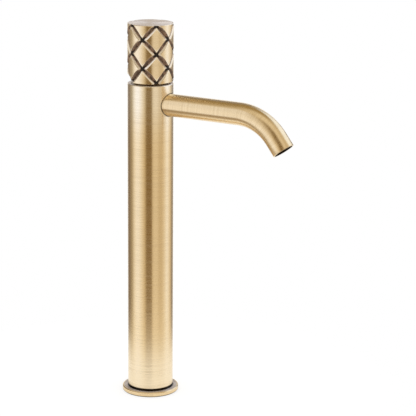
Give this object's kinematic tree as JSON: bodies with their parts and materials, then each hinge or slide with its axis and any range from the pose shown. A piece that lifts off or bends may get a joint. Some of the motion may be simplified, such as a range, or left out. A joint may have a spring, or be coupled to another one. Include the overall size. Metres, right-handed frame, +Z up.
{
  "type": "bathroom mixer faucet",
  "caption": "Tall single-lever basin mixer with a round column, a bent side spout and a diamond-cut knob that tilts for flow and turns for temperature.",
  "frame": {"origin": "centre of the column's foot, on the deck's surface", "axes": "+Z up the column, +X along the spout towards the user, +Y to the right of someone facing the spout"},
  "size_m": [0.1691, 0.051, 0.3397],
  "materials": {
    "brushed_brass": "brushed antique brass, dark in the grooves",
    "aged_brass": "satin antique brass",
    "plain_brass": "machined brass",
    "copper": "drawn copper",
    "seal_rubber": "matte black",
    "white_plastic": "moulded",
    "dark_plastic": "moulded",
    "disc_ceramic": "lapped ceramic",
    "pin_steel": "ground",
    "screw_steel": "black oxide"
  },
  "bodies": {
    "column": {"body_tube": "brushed_brass", "base_flange": "brushed_brass", "deck_seal": "seal_rubber", "base_plug": "plain_brass", "hot_inlet_pipe": "copper", "cold_inlet_pipe": "copper", "pipe_seals": "seal_rubber", "valve_body": "plain_brass", "spout_tube": "brushed_brass", "spout_washer_ring": "seal_rubber", "aerator_ring": "aged_brass", "aerator_insert": "dark_plastic", "aerator_washer_ring": "seal_rubber", "cartridge_base": "white_plastic", "cartridge_port_seals": "seal_rubber", "cartridge_housing": "white_plastic", "fixed_disc": "disc_ceramic", "retaining_nut": "plain_brass", "trim_dome": "aged_brass"},
    "rotor": {"lever_rotor": "dark_plastic", "lever_pin": "pin_steel"},
    "handle": {"lever": "plain_brass", "knob": "brushed_brass", "knob_set_screw": "screw_steel"},
    "mixing_disc": {"sliding_disc": "disc_ceramic", "disc_carrier": "dark_plastic"}
  },
  "joints": [
    {"name": "temperature_turn", "type": "hinge", "parent": "column", "child": "rotor", "pos_m": [0, 0, 0.2895], "axis": [0, 0, 1], "range_deg": [-50, 50]},
    {"name": "flow_tilt", "type": "hinge", "parent": "rotor", "child": "handle", "pos_m": [0, 0, 0.2895], "axis": [0, -1, 0], "range_deg": [0, 22]},
    {"name": "disc_slide", "type": "slide", "parent": "rotor", "child": "mixing_disc", "axis": [1, 0, 0], "range_m": [0, 0.00375]}
  ],
  "couplings": [
    {"joint": "disc_slide", "follows": "flow_tilt", "m_per_rad": 0.0097561}
  ]
}
